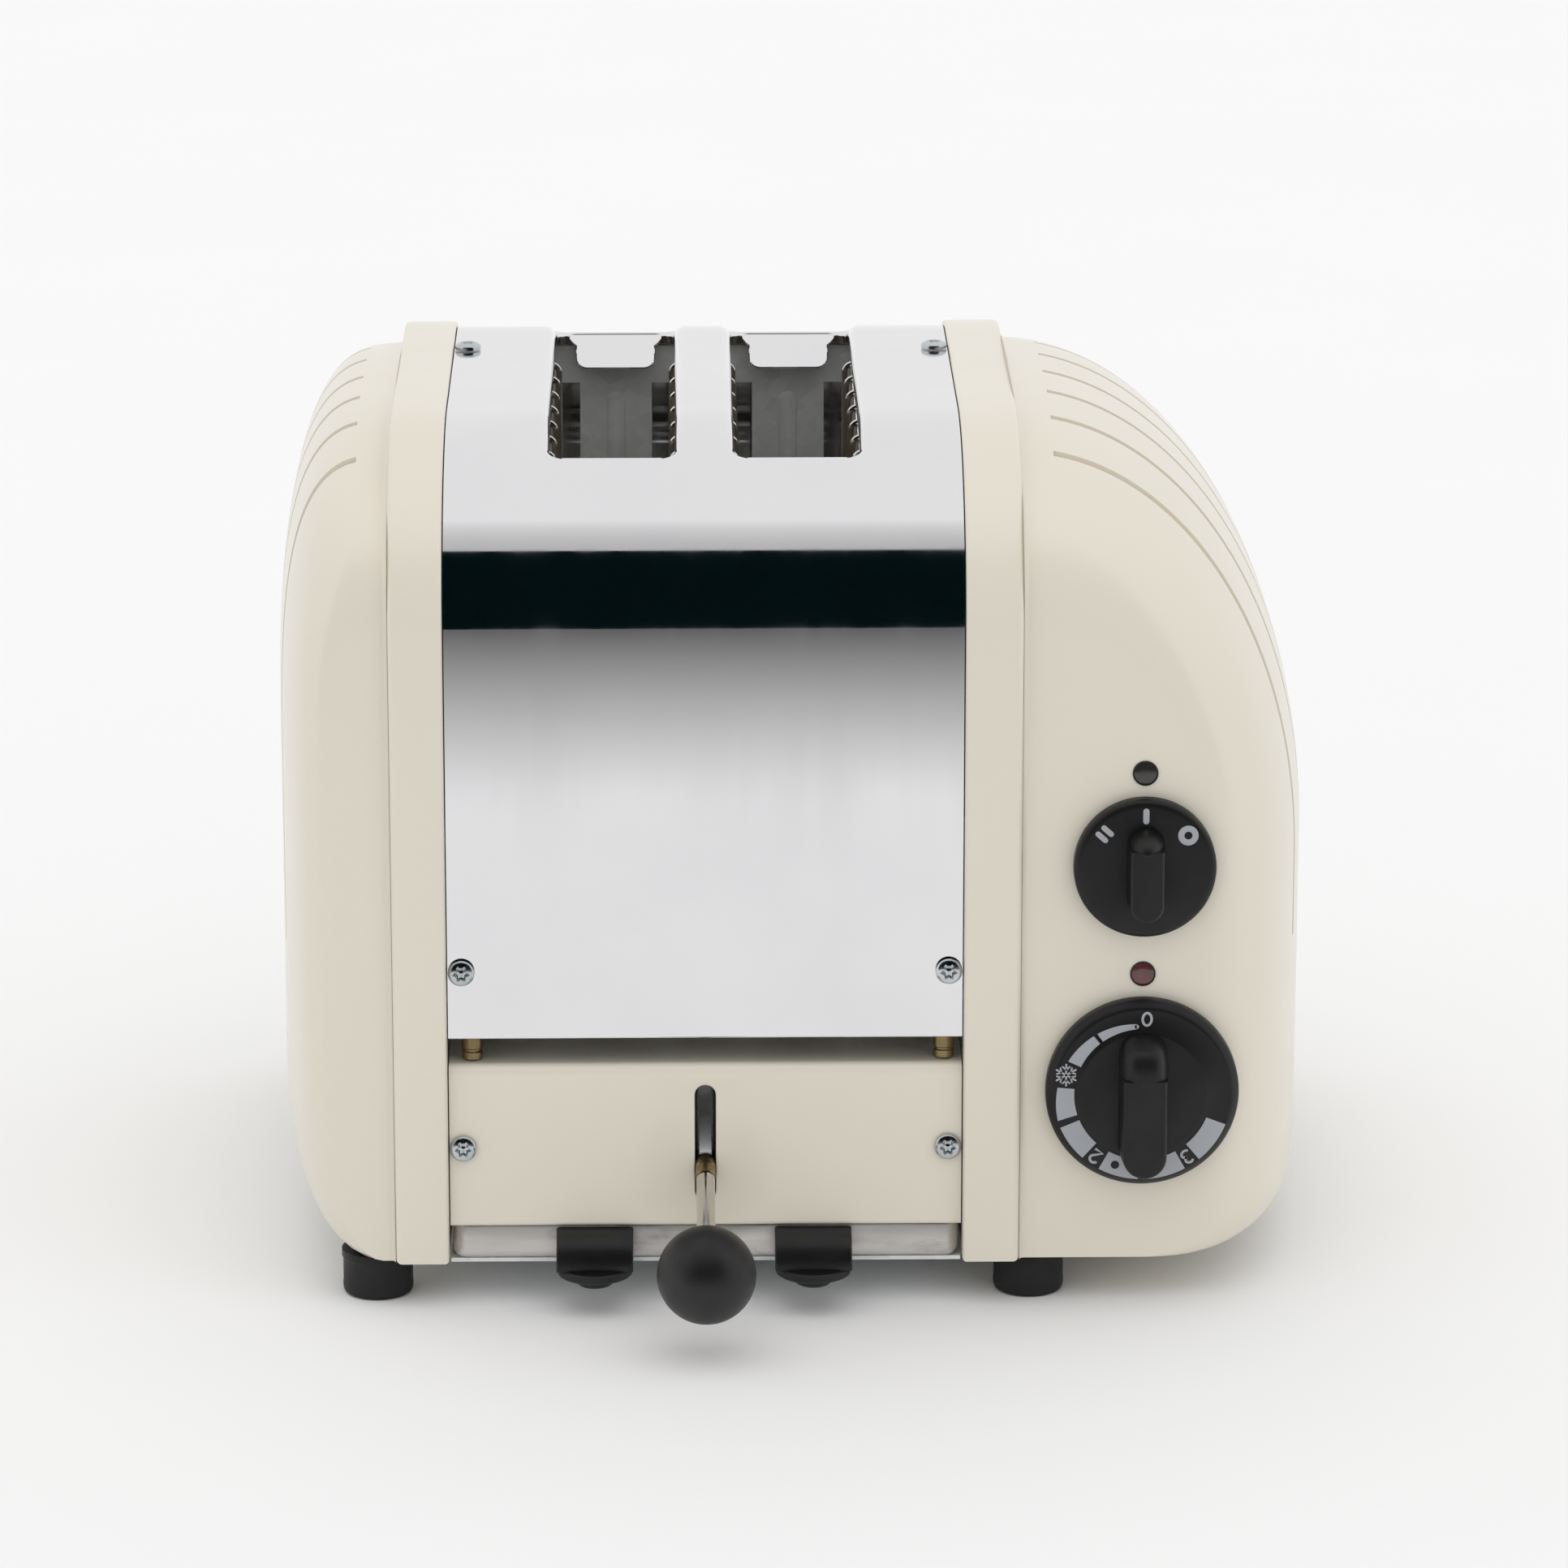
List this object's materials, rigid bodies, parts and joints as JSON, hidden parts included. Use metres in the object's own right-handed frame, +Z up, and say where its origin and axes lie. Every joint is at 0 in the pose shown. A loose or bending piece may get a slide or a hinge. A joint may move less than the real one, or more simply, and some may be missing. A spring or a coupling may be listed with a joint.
{
  "type": "pop up toaster",
  "caption": "Two-slot pop up toaster with a bent chrome cover between rounded cream end castings, a ball lever, two control knobs and a crumb tray.",
  "frame": {"origin": "middle of the overall bounding box at the level of the surface the feet stand on", "axes": "+Z up, front with the lever and knobs towards -Y, +X to the right seen from the front"},
  "size_m": [0.2588, 0.2552, 0.218],
  "materials": {
    "cream_enamel": "smooth stove enamel",
    "polished_chrome": "polished, faint vertical grain",
    "galvanised_steel": "spangled galvanised",
    "bright_steel": "bright drawn",
    "tray_aluminium": "rubbed and scuffed",
    "plated_screw": "zinc plated",
    "brass": "dull turned",
    "mica": "mica sheet with a folded edge",
    "knob_plastic": "satin moulded",
    "ball_plastic": "fine grained satin",
    "black_plastic": "grained moulded",
    "foot_rubber": "dull moulded",
    "dark_lens": "translucent dark lens",
    "red_lens": "translucent dark red lens"
  },
  "bodies": {
    "root": {"left_end_casting": "cream_enamel", "right_end_casting": "cream_enamel", "front_lower_panel": "cream_enamel", "rear_lower_panel": "cream_enamel", "chrome_cover": "polished_chrome", "left_side_plate": "galvanised_steel", "right_side_plate": "galvanised_steel", "base_plate": "galvanised_steel", "front_end_plate": "galvanised_steel", "rear_end_plate": "galvanised_steel", "chassis_cross_member": "galvanised_steel", "lever_bracket": "galvanised_steel", "timer_body": "galvanised_steel", "guard_left_outer": "bright_steel", "guard_left_inner": "bright_steel", "guard_right_inner": "bright_steel", "guard_right_outer": "bright_steel", "carriage_guide_rod": "bright_steel", "lever_pivot_pin": "bright_steel", "timer_bell": "bright_steel", "casting_nub": "bright_steel", "cover_screw_front_left": "plated_screw", "cover_screw_front_right": "plated_screw", "panel_screw_front_left": "plated_screw", "panel_screw_front_right": "plated_screw", "cover_screw_rear_left": "plated_screw", "cover_screw_rear_right": "plated_screw", "panel_screw_rear_left": "plated_screw", "panel_screw_rear_right": "plated_screw", "top_screw_left": "plated_screw", "top_screw_right": "plated_screw", "panel_post_left": "brass", "panel_post_right": "brass", "element_left": "mica", "element_centre": "mica", "element_right": "mica", "lever_guide": "black_plastic", "selector_switch": "black_plastic", "terminal_block": "black_plastic", "cord_gland": "black_plastic", "foot_front_left": "foot_rubber", "foot_front_right": "foot_rubber", "foot_rear_left": "foot_rubber", "foot_rear_right": "foot_rubber", "upper_lamp": "dark_lens", "lower_lamp": "red_lens"},
    "lever": {"lever_arm": "galvanised_steel", "lever_bush": "brass", "lever_rod": "bright_steel", "lever_ball": "ball_plastic"},
    "carriage": {"left_bread_rack": "bright_steel", "right_bread_rack": "bright_steel", "carriage_yoke": "galvanised_steel"},
    "selector": {"selector_knob": "knob_plastic", "selector_shaft": "bright_steel"},
    "timer": {"timer_knob": "knob_plastic", "timer_shaft": "bright_steel"},
    "tray": {"crumb_tray": "tray_aluminium", "tray_clip_left": "black_plastic", "tray_clip_right": "black_plastic"}
  },
  "joints": [
    {"name": "lever_swing", "type": "hinge", "parent": "root", "child": "lever", "pos_m": [-0.0226, -0.03338, 0.051], "axis": [-1, 0, 0], "range_deg": [0, 23]},
    {"name": "carriage_travel", "type": "slide", "parent": "root", "child": "carriage", "axis": [0, 0, -1], "range_m": [0, 0.0231]},
    {"name": "selector_turn", "type": "hinge", "parent": "root", "child": "selector", "pos_m": [0.0852, -0.07598, 0.1136], "axis": [0, 1, 0], "range_deg": [-50, 48]},
    {"name": "timer_turn", "type": "hinge", "parent": "root", "child": "timer", "pos_m": [0.0852, -0.07598, 0.0561], "axis": [0, 1, 0], "range_deg": [0, 250]},
    {"name": "tray_slide", "type": "slide", "parent": "root", "child": "tray", "axis": [0, -1, 0], "range_m": [0, 0.026]}
  ],
  "couplings": [
    {"joint": "carriage_travel", "follows": "lever_swing", "m_per_rad": 0.057}
  ]
}
